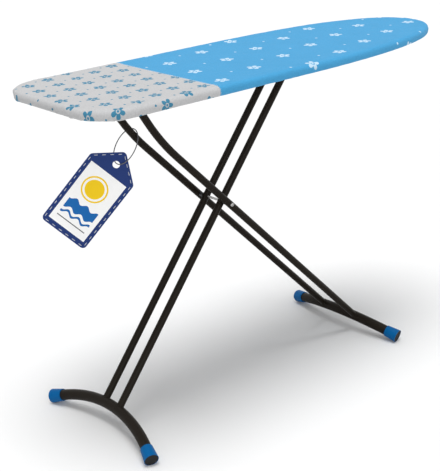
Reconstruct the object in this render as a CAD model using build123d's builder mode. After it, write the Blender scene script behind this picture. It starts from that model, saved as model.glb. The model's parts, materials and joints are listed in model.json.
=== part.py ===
"""A folding ironing board on crossed legs, standing at its top height.

Millimetres. The origin is on the floor under the middle of the board, +X points to the
board's nose, +Y to its left side and +Z up. The outer leg frame hinges on a bracket under
the square end. The inner leg frame hinges on it at the crossing rod, and its top bar
slides in two slotted rails towards the nose as the board folds.
"""

import os
from math import asin, atan2, cos, degrees, hypot, pi, radians, sin, sqrt

from build123d import *

os.makedirs("parts", exist_ok=True)

SIDES = (("left", 1), ("right", -1))

# ---------------------------------------------------------------- driving sizes: board
board_length = 1200.0
board_width = 400.0
top_height = 840.0  # floor to the ironing surface
end_corner_radius = 95.0
taper_start = 12.0  # where the long sides begin to draw in
shoulder_reach = 300.0  # how far the sides keep straight on into the taper
nose_fullness = 158.0  # how blunt the tip is
taper_points = 24  # drawn along the taper
edge_depth = 23.5  # height of the covered edge
edge_roll = 6.0
hem_roll = 4.0
hem_width = 40.0  # cover turned in under the board
cover_thickness = 1.5
pad_thickness = 5.0
panel_thickness = 1.2
rim_thickness = 2.0
rim_lip = 12.0
binding_reach = 5.0  # binding tape beyond the hem's raw edge
binding_lap = 4.0  # binding tape over the hem
binding_thickness = 0.8
rib_width = 24.0
rib_depth = 8.0
end_rib_gap = 110.0  # pivot to the rib behind it
middle_rib_gap = 170.0
nose_rib_gap = 70.0  # lever's pin to the rib before it
fabric_gap = 0.5  # between the cover and what it wraps
rim_play = 2.0  # between the hem and the rim's lip

# ---------------------------------------------------------------- driving sizes: legs
leg_diameter = 18.0
leg_wall = 1.0
foot_diameter = 27.0
foot_wall = 1.2
crossing_x = -147.0
crossing_share = 0.5976  # crossing's height as a share of the top's
pivot_drop = 39.0  # both top axes below the panel
inner_half_spread = 29.0  # middle of the board to each tube's axis
outer_half_spread = 60.0
inner_foot_x = -541.0  # where the tips of the feet stand
inner_foot_half = 209.0
inner_foot_bend = 25.8  # degrees from the middle to each straight end
outer_foot_x = 330.0
outer_foot_half = 196.0
outer_foot_bend = 19.1
foot_lean = 46.5  # degrees from the floor to the plane of each foot's arch
foot_straight = 40.0  # straight end of a foot tube, with its cap
outer_bend_share = 0.757  # how far up the upper arm its bend is
outer_bend_roundness = 1.476  # bend radius over the arm's length
inner_overrun = 16.0  # tube beyond the slide bar
outer_overrun = 14.0  # tube beyond the pivot sleeve
folded_angle = 4.0  # degrees left between legs and board when folded

cap_length = 36.0
cap_mouth_radius = 15.5
cap_end_radius = 17.9
cap_wall = 1.2  # blue rim round the rubber pad
cap_web = 3.0
pad_inset = 3.0
floor_flat = 0.6  # how deep a foot is trimmed level with the floor
plug_cap = 3.0
plug_stub = 8.0

# ---------------------------------------------------------------- driving sizes: joints
sleeve_radius = 9.0
pivot_rod_radius = 5.0
slide_bar_radius = 5.0
cross_rod_radius = 3.0
cross_cap_radius = 4.8
cross_cap_dimple = (2.0, 1.7)  # radius and depth, in the middle of each head
running_clearance = 0.06  # on the radius, where a rod turns
fit_gap = 0.05  # on the radius, where a piece is pushed home
body_gap = 0.5  # between pieces that pass each other
weld_sink = 0.6  # pivot sleeve let into the tubes

saddle_thickness = 2.0
saddle_length = 70.0
ear_width = 30.0
ear_play = 1.5
clip_thickness = 1.6
clip_radius = 8.5
rod_end = 2.5  # rod past its clip

rail_thickness = 1.5
rail_flange = 18.0
rail_play = 4.0  # between the inner legs and the rails
rail_overrun = 24.0
rail_below_slot = 3.0
glide_wall = 2.7
glide_flange = 3.0
slot_gap = 0.3  # glide in its slot

height_step = 40.0  # between working heights
notch_count = 6

# ---------------------------------------------------------------- driving sizes: lever
rack_thickness = 3.0
rack_depth = 15.0
rack_clearance = 0.6  # rack's teeth over the slide bar
rack_nose = 13.0  # rack past its first notch
lever_pin_gap = 12.0  # beyond the rails' ends
lever_pin_radius = 2.5
clevis_thickness = 1.5
clevis_gap = 6.5  # between the rack and each ear
lever_wire_radius = 3.0
lever_bend_radius = 25.0
lever_elbow_x = -90.0
grip_y = 138.0
grip_size = (80.0, 22.0, 12.0)
grip_grasp = 10.0  # wire inside the grip
keeper_x = -20.0
keeper_width = 14.0
keeper_play = 1.5
keeper_rest = 0.4  # between the wire and the keeper under it
notch_depth = 2.0
spring_wire = 1.0
spring_turns = 2.25
spring_lead = 0.05  # rise of the coil along its turn
spring_arm = 14.0
spring_reach = 24.0  # straight arm up to the panel

rivet_radius = 2.0
rivet_head_radius = 4.2
rivet_head_height = 1.6
rivet_margin = 9.0

# ---------------------------------------------------------------- driving sizes: tag
tag_station = 268.0  # from the crossing, up the left outer leg
ring_lean = 36.0  # degrees from plumb
ring_yaw = 19.0  # degrees its flat side is turned towards the square end
ring_half_length = 46.1
ring_half_width = 27.6
ring_offset = 6.7  # ring's middle outside the tube's axis
ring_wire_radius = 1.3
tag_facing = 39.6  # degrees its face is turned from the board's right side
tag_lean_back = 8.0
tag_tilt = 41.0
tag_width = 127.5
tag_body = 198.0
tag_roof = 54.3
tag_thickness = 1.6
tag_corner = 11.0
tag_hole_radius = 8.8
tag_hole_drop = 38.5  # from the point of the roof
tag_hole_hang = 2.9  # ring above the middle of the hole
tag_hole_aside = 1.8  # ring beside the middle of the hole

# ---------------------------------------------------------------- levels of the board
pad_top = top_height - cover_thickness
panel_top = pad_top - pad_thickness
panel_bottom = panel_top - panel_thickness
cover_bottom = top_height - edge_depth
hem_top = cover_bottom + cover_thickness
rim_bottom = hem_top + rim_play
pivot_height = panel_bottom - pivot_drop
wrap_inset = cover_thickness + fabric_gap

leg_radius = leg_diameter / 2
foot_radius = foot_diameter / 2


# ---------------------------------------------------------------- where the legs stand
def foot_layout(tip_x, half, bend, lean):
    """Arch of one foot: bend radius, straight start and middle, from its tips' place."""
    turn = radians(bend)
    radius = (half - foot_straight * cos(turn)) / sin(turn)
    rise = radius * (1 - cos(turn)) + foot_straight * sin(turn)
    slope = sin(turn) * sin(lean)
    tip_z = cap_end_radius * sqrt(1 - slope**2) - floor_flat
    middle = Vector(tip_x + rise * cos(lean), 0, tip_z + rise * sin(lean))
    return radius, middle


inner_lean = radians(foot_lean)
outer_lean = radians(180 - foot_lean)
inner_arch, inner_foot = foot_layout(inner_foot_x, inner_foot_half, inner_foot_bend, inner_lean)
outer_arch, outer_foot = foot_layout(outer_foot_x, outer_foot_half, outer_foot_bend, outer_lean)

crossing_height = top_height * crossing_share
crossing = Vector(crossing_x, 0, crossing_height)
inner_line = (crossing - inner_foot).normalized()
outer_line = (crossing - outer_foot).normalized()

# The two upper arms, crossing to slide bar and crossing to pivot, are equally long and
# equally steep, so the bar runs level as the legs fold.
arm_rise = pivot_height - crossing_height
arm_run = arm_rise * inner_line.X / inner_line.Z
slide_axis = Vector(crossing_x + arm_run, 0, pivot_height)
pivot_axis = Vector(crossing_x - arm_run, 0, pivot_height)
arm_length = hypot(arm_run, arm_rise)
arm_angle = degrees(atan2(arm_rise, arm_run))
slide_folded_x = pivot_axis.X + 2 * arm_length * cos(radians(folded_angle))

# The outer tube bends over so that it passes beside the pivot sleeve.
outer_knee = crossing + outer_line * (outer_bend_share * arm_length)
outer_bend_radius = outer_bend_roundness * arm_length
knee_to_pivot = pivot_axis - outer_knee
sleeve_offset = leg_radius + sleeve_radius - weld_sink
knee_swing = asin(sleeve_offset / knee_to_pivot.length)
knee_angle = atan2(knee_to_pivot.Z, knee_to_pivot.X) + knee_swing
outer_upper = Vector(cos(knee_angle), 0, sin(knee_angle))
upper_length = sqrt(knee_to_pivot.length**2 - sleeve_offset**2) + outer_overrun
outer_top = outer_knee + outer_upper * upper_length

print("pivot axis", pivot_axis, "slide axis", slide_axis, "slide folded x", slide_folded_x)
print("inner foot", inner_foot, "outer foot", outer_foot, "top of outer leg", outer_top)
print("fold range, degrees", arm_angle - folded_angle)


# ---------------------------------------------------------------- shared shapes
taper = Bezier(
    (taper_start, board_width / 2),
    (taper_start + shoulder_reach, board_width / 2),
    (board_length / 2, nose_fullness),
    (board_length / 2, 0),
)


def board_outline(inset):
    """Plan of the board, drawn in all round by inset."""
    half, side = board_length / 2 - inset, board_width / 2 - inset
    corner = end_corner_radius - inset
    stations = [i / taper_points for i in range(taper_points + 1)]
    nose = [taper @ t + Vector(0, 0, -inset).cross(taper % t) for t in stations]
    with BuildSketch() as plan:
        with BuildLine():
            Line((-half, 0), (-half, side - corner))
            TangentArc((-half, side - corner), (-half + corner, side), tangent=(0, 1))
            Line((-half + corner, side), (taper_start, side))
            Spline(*nose, tangents=[(1, 0), (0, -1)])
            mirror(about=Plane.XZ)
        make_face()
    return plan.sketch


def arch_plane(middle, lean):
    """Plane of a foot's arch: x along +Y, y up the arch."""
    rise = Vector(cos(lean), 0, sin(lean))
    return Plane(origin=middle, x_dir=(0, 1, 0), z_dir=Vector(0, 1, 0).cross(rise))


def foot_path(radius, bend, plane, straight):
    """Centre line of a foot tube: straight end, arch, straight end."""
    turn = radians(bend)
    x, y = radius * sin(turn), radius * (cos(turn) - 1)
    end_x, end_y = x + straight * cos(turn), y - straight * sin(turn)
    with BuildLine(plane) as path:
        Line((-end_x, end_y), (-x, y))
        ThreePointArc((-x, y), (0, 0), (x, y))
        Line((x, y), (end_x, end_y))
    return path


def foot_end_plane(radius, bend, plane, side):
    """Plane across a foot tube at its outer tip, facing outwards."""
    turn = radians(bend)
    x = radius * sin(turn) + foot_straight * cos(turn)
    y = radius * (cos(turn) - 1) - foot_straight * sin(turn)
    tip = plane.from_local_coords(Vector(side * x, y, 0))
    out = plane.from_local_coords(Vector(side * (x + cos(turn)), y - sin(turn), 0)) - tip
    return Plane(origin=tip, z_dir=out)


inner_arch_plane = arch_plane(inner_foot, inner_lean)
outer_arch_plane = arch_plane(outer_foot, outer_lean)
tube_straight = foot_straight - cap_web - pad_inset

# The solid envelopes of the foot tubes, which cope the ends of the leg tubes.
with BuildPart() as inner_foot_envelope:
    path = foot_path(inner_arch, inner_foot_bend, inner_arch_plane, tube_straight)
    with BuildSketch(Plane(origin=path.line @ 0, z_dir=path.line % 0)):
        Circle(foot_radius)
    sweep(path=path.line)

with BuildPart() as outer_foot_envelope:
    path = foot_path(outer_arch, outer_foot_bend, outer_arch_plane, tube_straight)
    with BuildSketch(Plane(origin=path.line @ 0, z_dir=path.line % 0)):
        Circle(foot_radius)
    sweep(path=path.line)


def cross_plane(centre, y=0.0):
    """Plane across the board through an axis that runs along Y."""
    return Plane(origin=(centre.X, y, centre.Z), x_dir=(1, 0, 0), z_dir=(0, 1, 0))


# ---------------------------------------------------------------- rivet places
rail_inner_y = inner_half_spread + leg_radius + rail_play
rail_outer_y = rail_inner_y + rail_thickness
rail_start = slide_axis.X - rail_overrun
rail_end = slide_folded_x + rail_overrun
rail_rivet_y = rail_outer_y + rail_flange / 2
lever_pin_x = rail_end + lever_pin_gap
rib_stations = (
    pivot_axis.X - end_rib_gap,
    pivot_axis.X + middle_rib_gap,
    lever_pin_x + nose_rib_gap,
)
rail_rivet_span = (rail_end - rail_start - 2 * rivet_margin) / 3
ear_inner_y = outer_half_spread + leg_radius + body_gap + ear_play
ear_outer_y = ear_inner_y + saddle_thickness
saddle_rivet_x = saddle_length / 2 - rivet_margin
saddle_rivet_y = ear_inner_y - rivet_margin
clevis_inner_y = rack_thickness / 2 + clevis_gap
clevis_outer_y = clevis_inner_y + clevis_thickness
clevis_foot = 2 * rivet_margin
clevis_rivet_y = clevis_outer_y + rivet_margin
keeper_inner_y = lever_wire_radius + keeper_play
keeper_outer_y = keeper_inner_y + clevis_thickness
keeper_rivet_y = keeper_outer_y + rivet_margin

rail_rivets = [
    (rail_start + rivet_margin + i * rail_rivet_span, side * rail_rivet_y)
    for i in range(4)
    for _, side in SIDES
]
saddle_rivets = [
    (pivot_axis.X + i * saddle_rivet_x, side * saddle_rivet_y)
    for i in (-1, 1)
    for _, side in SIDES
]
clevis_rivets = [(lever_pin_x, side * clevis_rivet_y) for _, side in SIDES]
keeper_rivets = [(keeper_x, side * keeper_rivet_y) for _, side in SIDES]
rivet_rows = (
    (rail_thickness, rail_rivets),
    (saddle_thickness, saddle_rivets),
    (clevis_thickness, clevis_rivets + keeper_rivets),
)
rivet_hole = rivet_radius + fit_gap


def on_panel(spots):
    """Places on the panel's underside."""
    return [(x, y, panel_bottom) for x, y in spots]


# ---------------------------------------------------------------- the board's top
with BuildPart() as cover_room:
    with BuildSketch(Plane.XY.offset(hem_top)):
        add(board_outline(cover_thickness))
    extrude(amount=pad_top - hem_top)
    fillet(cover_room.faces().sort_by(Axis.Z)[-1].edges(), edge_roll - cover_thickness)
    fillet(cover_room.faces().sort_by(Axis.Z)[0].edges(), hem_roll - cover_thickness)

with BuildPart() as cover:
    with BuildSketch(Plane.XY.offset(cover_bottom)):
        add(board_outline(0))
    extrude(amount=edge_depth)
    fillet(cover.faces().sort_by(Axis.Z)[-1].edges(), edge_roll)
    fillet(cover.faces().sort_by(Axis.Z)[0].edges(), hem_roll)
    add(cover_room.part, mode=Mode.SUBTRACT)
    with BuildSketch(Plane.XY.offset(cover_bottom)):
        add(board_outline(hem_width))
    extrude(amount=cover_thickness, mode=Mode.SUBTRACT)
cover.part.label = "cover"
export_step(cover.part, "parts/cover.step")

with BuildPart() as hem_binding:
    with BuildSketch(Plane.XY.offset(cover_bottom - binding_thickness)):
        add(board_outline(hem_width - binding_lap))
        add(board_outline(hem_width + binding_reach), mode=Mode.SUBTRACT)
    extrude(amount=cover_thickness + 2 * binding_thickness)
    with BuildSketch(Plane.XY.offset(cover_bottom)):
        add(board_outline(hem_width - 2 * binding_lap))
        add(board_outline(hem_width), mode=Mode.SUBTRACT)
    extrude(amount=cover_thickness, mode=Mode.SUBTRACT)
hem_binding.part.label = "hem_binding"
export_step(hem_binding.part, "parts/hem_binding.step")

with BuildPart() as felt_pad:
    with BuildSketch(Plane.XY.offset(panel_top)):
        add(board_outline(wrap_inset))
    extrude(amount=pad_thickness)
    fillet(felt_pad.faces().sort_by(Axis.Z)[-1].edges(), edge_roll - cover_thickness)
felt_pad.part.label = "felt_pad"
export_step(felt_pad.part, "parts/felt_pad.step")

with BuildPart() as deck_panel:
    with BuildSketch(Plane.XY.offset(panel_bottom)):
        add(board_outline(wrap_inset))
    extrude(amount=panel_thickness)
    for _, spots in rivet_rows:
        with Locations(*on_panel(spots)):
            Cylinder(rivet_hole, 3 * panel_thickness, mode=Mode.SUBTRACT)
deck_panel.part.label = "deck_panel"
export_step(deck_panel.part, "parts/deck_panel.step")

with BuildPart() as rim_frame:
    with BuildSketch(Plane.XY.offset(rim_bottom)):
        add(board_outline(wrap_inset))
        add(board_outline(wrap_inset + rim_thickness), mode=Mode.SUBTRACT)
    extrude(amount=panel_bottom - rim_bottom)
    with BuildSketch(Plane.XY.offset(rim_bottom)):
        add(board_outline(wrap_inset + rim_thickness))
        add(board_outline(wrap_inset + rim_lip), mode=Mode.SUBTRACT)
    extrude(amount=rim_thickness)
rim_frame.part.label = "rim_frame"
export_step(rim_frame.part, "parts/rim_frame.step")

for number, station in enumerate(rib_stations, start=1):
    with BuildPart() as cross_rib:
        with BuildSketch(Plane.XY.offset(panel_bottom - rib_depth)):
            add(board_outline(wrap_inset + rim_thickness))
            with Locations((station, 0)):
                Rectangle(rib_width, board_width, mode=Mode.INTERSECT)
        extrude(amount=rib_depth)
        with BuildSketch(Plane.XY.offset(panel_bottom - rib_depth + rail_thickness)):
            with Locations((station, 0)):
                Rectangle(rib_width - 2 * rail_thickness, board_width)
        extrude(amount=rib_depth, mode=Mode.SUBTRACT)
    cross_rib.part.label = f"cross_rib_{number}"
    export_step(cross_rib.part, f"parts/cross_rib_{number}.step")

# ---------------------------------------------------------------- pivot bracket and rod
with BuildPart() as pivot_saddle:
    with BuildSketch(Plane.XY.offset(panel_bottom - saddle_thickness)):
        with Locations((pivot_axis.X, 0)):
            Rectangle(saddle_length, 2 * ear_outer_y)
    extrude(amount=saddle_thickness)
    for _, side in SIDES:
        with BuildSketch(cross_plane(pivot_axis, side * ear_inner_y)):
            Circle(ear_width / 2)
            with Locations((0, -pivot_drop / 2 + saddle_thickness / 2)):
                Rectangle(ear_width, pivot_drop - saddle_thickness)
        extrude(amount=side * saddle_thickness)
    with BuildSketch(cross_plane(pivot_axis)):
        Circle(pivot_rod_radius + fit_gap)
    extrude(amount=ear_outer_y, both=True, mode=Mode.SUBTRACT)
    with Locations(*on_panel(saddle_rivets)):
        Cylinder(rivet_hole, 2.5 * saddle_thickness, mode=Mode.SUBTRACT)
pivot_saddle.part.label = "pivot_saddle"
export_step(pivot_saddle.part, "parts/pivot_saddle.step")

with BuildPart() as pivot_rod:
    with BuildSketch(cross_plane(pivot_axis)):
        Circle(pivot_rod_radius)
    extrude(amount=ear_outer_y + clip_thickness + rod_end, both=True)
    chamfer(pivot_rod.edges().filter_by(GeomType.CIRCLE), pivot_rod_radius / 8)
pivot_rod.part.label = "pivot_rod"
export_step(pivot_rod.part, "parts/pivot_rod.step")

with BuildPart() as pivot_clips:
    for _, side in SIDES:
        with BuildSketch(cross_plane(pivot_axis, side * ear_outer_y)):
            Circle(clip_radius)
            Circle(pivot_rod_radius + fit_gap, mode=Mode.SUBTRACT)
        extrude(amount=side * clip_thickness)
pivot_clips.part.label = "pivot_clips"
export_step(pivot_clips.part, "parts/pivot_clips.step")

# ---------------------------------------------------------------- guide rails
glide_hub_radius = slide_bar_radius + fit_gap + glide_wall
slot_half = glide_hub_radius + slot_gap
rail_bottom = pivot_height - slot_half - rail_below_slot

for name, side in SIDES:
    with BuildPart() as guide_rail:
        with BuildSketch(Plane.XZ.offset(-side * rail_inner_y)):
            with Locations(((rail_start + rail_end) / 2, (rail_bottom + panel_bottom) / 2)):
                Rectangle(rail_end - rail_start, panel_bottom - rail_bottom)
            with Locations(((slide_axis.X + slide_folded_x) / 2, pivot_height)):
                SlotCenterToCenter(
                    slide_folded_x - slide_axis.X + 2 * body_gap,
                    2 * slot_half,
                    mode=Mode.SUBTRACT,
                )
        extrude(amount=-side * rail_thickness)
        low = guide_rail.edges().filter_by(Axis.Y).group_by(Axis.Z)[0]
        fillet(low, slot_half)
        with BuildSketch(Plane.XY.offset(panel_bottom - rail_thickness)):
            with Locations(((rail_start + rail_end) / 2, side * rail_rivet_y)):
                Rectangle(rail_end - rail_start, rail_flange)
        extrude(amount=rail_thickness)
        own = [spot for spot in rail_rivets if spot[1] * side > 0]
        with Locations(*on_panel(own)):
            Cylinder(rivet_hole, 2.5 * rail_thickness, mode=Mode.SUBTRACT)
    guide_rail.part.label = f"guide_rail_{name}"
    export_step(guide_rail.part, f"parts/guide_rail_{name}.step")

with BuildPart() as deck_rivets:
    for flange, spots in rivet_rows:
        with BuildSketch(Plane.XY.offset(panel_bottom - flange - rivet_head_height)):
            with Locations(*spots):
                Circle(rivet_head_radius)
        extrude(amount=rivet_head_height)
        rims = deck_rivets.edges(Select.LAST).filter_by(GeomType.CIRCLE)
        fillet(rims.group_by(Axis.Z)[0], rivet_head_height * 0.6)
        with BuildSketch(Plane.XY.offset(panel_bottom - flange)):
            with Locations(*spots):
                Circle(rivet_radius)
        extrude(amount=flange + panel_thickness)
deck_rivets.part.label = "deck_rivets"
export_step(deck_rivets.part, "parts/deck_rivets.step")

# ---------------------------------------------------------------- leg tubes
inner_length = (slide_axis - inner_foot).length + inner_overrun
outer_face_y = outer_half_spread + leg_radius
inner_face_y = inner_half_spread + leg_radius
between_y = outer_half_spread - leg_radius

for name, side in SIDES:
    foot_end = inner_foot + Vector(0, side * inner_half_spread, 0)
    with BuildPart() as inner_leg_tube:
        with BuildSketch(Plane(origin=foot_end, z_dir=inner_line)):
            Circle(leg_radius)
            Circle(leg_radius - leg_wall, mode=Mode.SUBTRACT)
        extrude(amount=inner_length)
        add(inner_foot_envelope.part, mode=Mode.SUBTRACT)
        with BuildSketch(cross_plane(crossing)):
            Circle(cross_rod_radius + running_clearance)
        extrude(amount=outer_face_y, both=True, mode=Mode.SUBTRACT)
        with BuildSketch(cross_plane(slide_axis)):
            Circle(slide_bar_radius + fit_gap)
        extrude(amount=outer_face_y, both=True, mode=Mode.SUBTRACT)
    inner_leg_tube.part.label = f"inner_leg_tube_{name}"
    export_step(inner_leg_tube.part, f"parts/inner_leg_tube_{name}.step")

outer_centre = FilletPolyline(outer_foot, outer_knee, outer_top, radius=outer_bend_radius)
for name, side in SIDES:
    spread = Vector(0, side * outer_half_spread, 0)
    with BuildPart() as outer_leg_tube:
        with BuildSketch(Plane(origin=outer_foot + spread, z_dir=outer_line)):
            Circle(leg_radius)
            Circle(leg_radius - leg_wall, mode=Mode.SUBTRACT)
        sweep(path=outer_centre.moved(Location(spread)))
        add(outer_foot_envelope.part, mode=Mode.SUBTRACT)
        with BuildSketch(cross_plane(pivot_axis)):
            Circle(sleeve_radius)
        extrude(amount=board_width / 2, both=True, mode=Mode.SUBTRACT)
        with BuildSketch(cross_plane(crossing)):
            Circle(cross_rod_radius + fit_gap)
        extrude(amount=board_width / 2, both=True, mode=Mode.SUBTRACT)
    outer_leg_tube.part.label = f"outer_leg_tube_{name}"
    export_step(outer_leg_tube.part, f"parts/outer_leg_tube_{name}.step")

with BuildPart() as pivot_sleeve:
    with BuildSketch(cross_plane(pivot_axis)):
        Circle(sleeve_radius)
        Circle(pivot_rod_radius + running_clearance, mode=Mode.SUBTRACT)
    extrude(amount=outer_face_y + body_gap, both=True)
pivot_sleeve.part.label = "pivot_sleeve"
export_step(pivot_sleeve.part, "parts/pivot_sleeve.step")

with BuildPart() as inner_leg_plugs:
    for _, side in SIDES:
        end = inner_foot + inner_line * inner_length + Vector(0, side * inner_half_spread, 0)
        with BuildSketch(Plane(origin=end, z_dir=inner_line)):
            Circle(leg_radius)
        extrude(amount=plug_cap)
        with BuildSketch(Plane(origin=end, z_dir=inner_line)):
            Circle(leg_radius - leg_wall - fit_gap)
        extrude(amount=-plug_stub)
inner_leg_plugs.part.label = "inner_leg_plugs"
export_step(inner_leg_plugs.part, "parts/inner_leg_plugs.step")

with BuildPart() as outer_leg_plugs:
    for _, side in SIDES:
        end = outer_top + Vector(0, side * outer_half_spread, 0)
        with BuildSketch(Plane(origin=end, z_dir=outer_upper)):
            Circle(leg_radius)
        extrude(amount=plug_cap)
        with BuildSketch(Plane(origin=end, z_dir=outer_upper)):
            Circle(leg_radius - leg_wall - fit_gap)
        extrude(amount=-plug_stub)
    with BuildSketch(cross_plane(pivot_axis)):
        Circle(sleeve_radius + fit_gap)
    extrude(amount=board_width / 2, both=True, mode=Mode.SUBTRACT)
outer_leg_plugs.part.label = "outer_leg_plugs"
export_step(outer_leg_plugs.part, "parts/outer_leg_plugs.step")

# ---------------------------------------------------------------- feet
FEET = (
    ("inner", inner_arch, inner_foot_bend, inner_arch_plane),
    ("outer", outer_arch, outer_foot_bend, outer_arch_plane),
)
for frame, radius, bend, plane in FEET:
    path = foot_path(radius, bend, plane, tube_straight)
    with BuildPart() as foot_tube:
        with BuildSketch(Plane(origin=path.line @ 0, z_dir=path.line % 0)):
            Circle(foot_radius)
            Circle(foot_radius - foot_wall, mode=Mode.SUBTRACT)
        sweep(path=path.line)
    foot_tube.part.label = f"{frame}_foot_tube"
    export_step(foot_tube.part, f"parts/{frame}_foot_tube.step")

    for name, side in SIDES:
        tip = foot_end_plane(radius, bend, plane, side)
        mouth = tip.offset(-cap_length)
        with BuildPart() as foot_cap:
            with BuildSketch(mouth):
                Circle(cap_mouth_radius)
            with BuildSketch(tip):
                Circle(cap_end_radius)
            loft()
            with BuildSketch(mouth):
                Circle(foot_radius + fit_gap)
            extrude(amount=cap_length - cap_web - pad_inset, mode=Mode.SUBTRACT)
            with BuildSketch(tip):
                Circle(cap_end_radius - cap_wall)
            extrude(amount=-pad_inset, mode=Mode.SUBTRACT)
            split(bisect_by=Plane.XY, keep=Keep.TOP)
        foot_cap.part.label = f"{frame}_foot_cap_{name}"
        export_step(foot_cap.part, f"parts/{frame}_foot_cap_{name}.step")

        with BuildPart() as foot_pad:
            with BuildSketch(tip):
                Circle(cap_end_radius - cap_wall - fit_gap)
            extrude(amount=-pad_inset)
            split(bisect_by=Plane.XY, keep=Keep.TOP)
        foot_pad.part.label = f"{frame}_foot_pad_{name}"
        export_step(foot_pad.part, f"parts/{frame}_foot_pad_{name}.step")

# ---------------------------------------------------------------- crossing rod
with BuildPart() as cross_rod:
    with BuildSketch(cross_plane(crossing)):
        Circle(cross_rod_radius)
    extrude(amount=outer_face_y + clip_thickness, both=True)
cross_rod.part.label = "cross_rod"
export_step(cross_rod.part, "parts/cross_rod.step")

with BuildPart() as cross_rod_caps:
    for _, side in SIDES:
        with BuildSketch(cross_plane(crossing, side * outer_face_y)):
            Circle(cross_cap_radius)
        extrude(amount=side * (clip_thickness + rod_end))
        rims = cross_rod_caps.edges(Select.LAST).filter_by(GeomType.CIRCLE)
        fillet(rims.sort_by(Axis.Y)[-1 if side > 0 else 0], rod_end)
        dimple_radius, dimple_depth = cross_cap_dimple
        head_end = side * (outer_face_y + clip_thickness + rod_end)
        with BuildSketch(cross_plane(crossing, head_end)):
            Circle(dimple_radius)
        extrude(amount=-side * dimple_depth, mode=Mode.SUBTRACT)
    with BuildSketch(cross_plane(crossing)):
        Circle(cross_rod_radius + fit_gap)
    extrude(amount=outer_face_y + clip_thickness, both=True, mode=Mode.SUBTRACT)
cross_rod_caps.part.label = "cross_rod_caps"
export_step(cross_rod_caps.part, "parts/cross_rod_caps.step")

with BuildPart() as cross_spacers:
    for _, side in SIDES:
        with BuildSketch(cross_plane(crossing, side * (inner_face_y + body_gap))):
            Circle(cross_rod_radius + fit_gap + glide_wall)
            Circle(cross_rod_radius + fit_gap, mode=Mode.SUBTRACT)
        extrude(amount=side * (between_y - inner_face_y - body_gap))
cross_spacers.part.label = "cross_spacers"
export_step(cross_spacers.part, "parts/cross_spacers.step")

# ---------------------------------------------------------------- slide bar and glides
glide_end_y = rail_outer_y + body_gap
glide_flange_radius = glide_hub_radius + glide_flange
with BuildPart() as slide_bar:
    with BuildSketch(cross_plane(slide_axis)):
        Circle(slide_bar_radius)
    extrude(amount=glide_end_y + clip_thickness + rod_end, both=True)
    chamfer(slide_bar.edges().filter_by(GeomType.CIRCLE), slide_bar_radius / 8)
slide_bar.part.label = "slide_bar"
export_step(slide_bar.part, "parts/slide_bar.step")

for name, side in SIDES:
    with BuildPart() as slide_glide:
        with BuildSketch(cross_plane(slide_axis, side * inner_face_y)):
            Circle(glide_flange_radius)
        extrude(amount=side * (rail_play - body_gap))
        with BuildSketch(cross_plane(slide_axis, side * inner_face_y)):
            Circle(glide_hub_radius)
        extrude(amount=side * (glide_end_y - inner_face_y))
        with BuildSketch(cross_plane(slide_axis)):
            Circle(slide_bar_radius + fit_gap)
        extrude(amount=board_width / 2, both=True, mode=Mode.SUBTRACT)
    slide_glide.part.label = f"slide_glide_{name}"
    export_step(slide_glide.part, f"parts/slide_glide_{name}.step")

with BuildPart() as slide_clips:
    for _, side in SIDES:
        with BuildSketch(cross_plane(slide_axis, side * glide_end_y)):
            Circle(glide_flange_radius)
            Circle(slide_bar_radius + fit_gap, mode=Mode.SUBTRACT)
        extrude(amount=side * clip_thickness)
slide_clips.part.label = "slide_clips"
export_step(slide_clips.part, "parts/slide_clips.step")

# ---------------------------------------------------------------- height lever
rack_bottom = pivot_height + slide_bar_radius + rack_clearance
rack_middle = rack_bottom + rack_depth / 2
rack_start = slide_axis.X - rack_nose
lever_axis = Vector(lever_pin_x, 0, rack_middle)
spring_radius = lever_pin_radius + spring_wire
spring_end_y = -rack_thickness / 2 - spring_wire - spring_arm * spring_lead
spring_pitch = 2 * pi * spring_radius * spring_lead
hook_hole = (lever_pin_x - spring_arm, rack_middle - spring_radius)

# Where the slide bar stands at each working height, the tallest first.
leg_reach = (slide_axis - inner_foot).length
notches = [
    pivot_axis.X + 2 * arm_length * sqrt(1 - (inner_line.Z - i * height_step / leg_reach) ** 2)
    for i in range(notch_count)
]
print("slide bar at each height", notches)

with BuildPart() as height_rack:
    with BuildSketch(Plane.XZ):
        with Locations(((rack_start + lever_pin_x) / 2, rack_middle)):
            Rectangle(lever_pin_x - rack_start, rack_depth)
        with Locations((lever_pin_x, rack_middle)):
            Circle(rack_depth / 2)
        with Locations(*[(x, pivot_height) for x in notches]):
            Circle(slide_bar_radius + rack_clearance + notch_depth, mode=Mode.SUBTRACT)
        with Locations((lever_pin_x, rack_middle)):
            Circle(lever_pin_radius + running_clearance, mode=Mode.SUBTRACT)
        with Locations(hook_hole):
            Circle(1.6 * spring_wire, mode=Mode.SUBTRACT)
    extrude(amount=rack_thickness / 2, both=True)
height_rack.part.label = "height_rack"
export_step(height_rack.part, "parts/height_rack.step")

grip_mouth_y = grip_y - grip_size[1] / 2
with BuildPart() as lever_wire:
    with BuildLine() as path:
        FilletPolyline(
            (rack_start, 0, rack_middle),
            (lever_elbow_x, 0, rack_middle),
            (lever_elbow_x, grip_mouth_y + grip_grasp, rack_middle),
            radius=lever_bend_radius,
        )
    with BuildSketch(Plane(origin=path.line @ 0, z_dir=path.line % 0)):
        Circle(lever_wire_radius)
    sweep(path=path.line)
lever_wire.part.label = "lever_wire"
export_step(lever_wire.part, "parts/lever_wire.step")

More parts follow.
